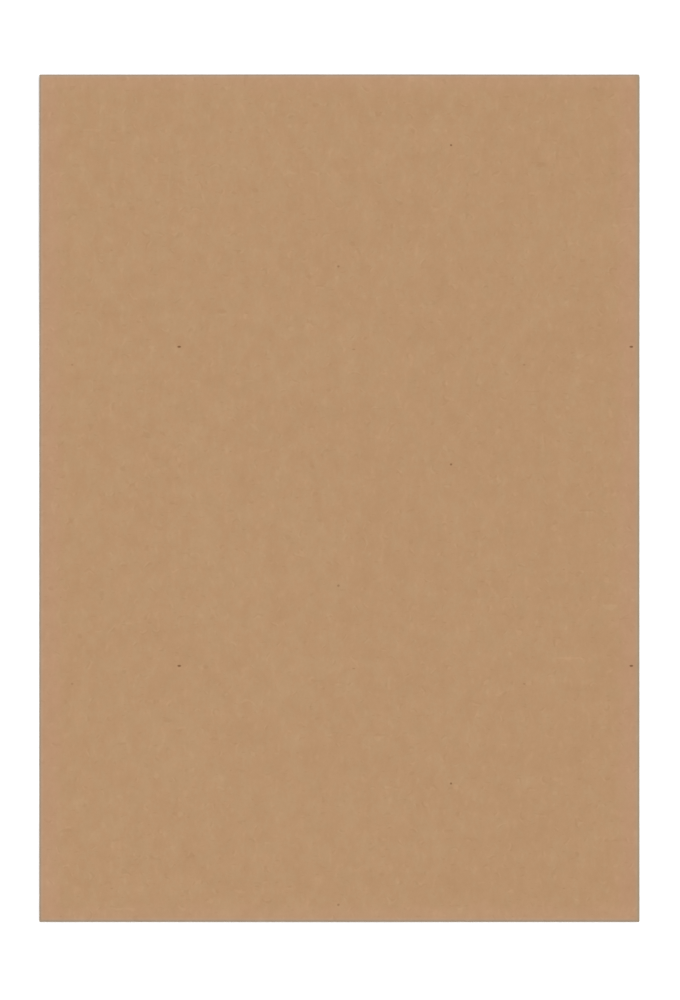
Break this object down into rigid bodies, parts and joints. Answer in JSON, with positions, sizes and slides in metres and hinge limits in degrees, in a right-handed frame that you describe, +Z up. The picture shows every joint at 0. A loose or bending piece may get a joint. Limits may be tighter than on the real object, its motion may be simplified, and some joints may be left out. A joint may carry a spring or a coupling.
{
  "type": "string tie envelope",
  "caption": "Portrait open-end document envelope of folded kraft paper; a riveted fibre button on its flap and another on its back let a string tie it shut.",
  "frame": {"origin": "centre of the overall box's base: the floor under the middle of the envelope as it lies on its back", "axes": "+X across the envelope, +Y along it from the bottom fold to the flap's fold, +Z up out of the plain address face"},
  "size_m": [0.25, 0.353, 0.0034],
  "materials": {
    "kraft_paper": "matte unbleached kraft paper with faint fibre mottle",
    "fibre_board": "pressed and calendered fibre board, matte",
    "brass_eyelet": "rolled sheet brass, softly polished"
  },
  "bodies": {
    "root": {"envelope_sheet": "kraft_paper", "flap_button": "fibre_board", "back_button": "fibre_board", "flap_eyelet": "brass_eyelet", "back_eyelet": "brass_eyelet"}
  },
  "joints": []
}
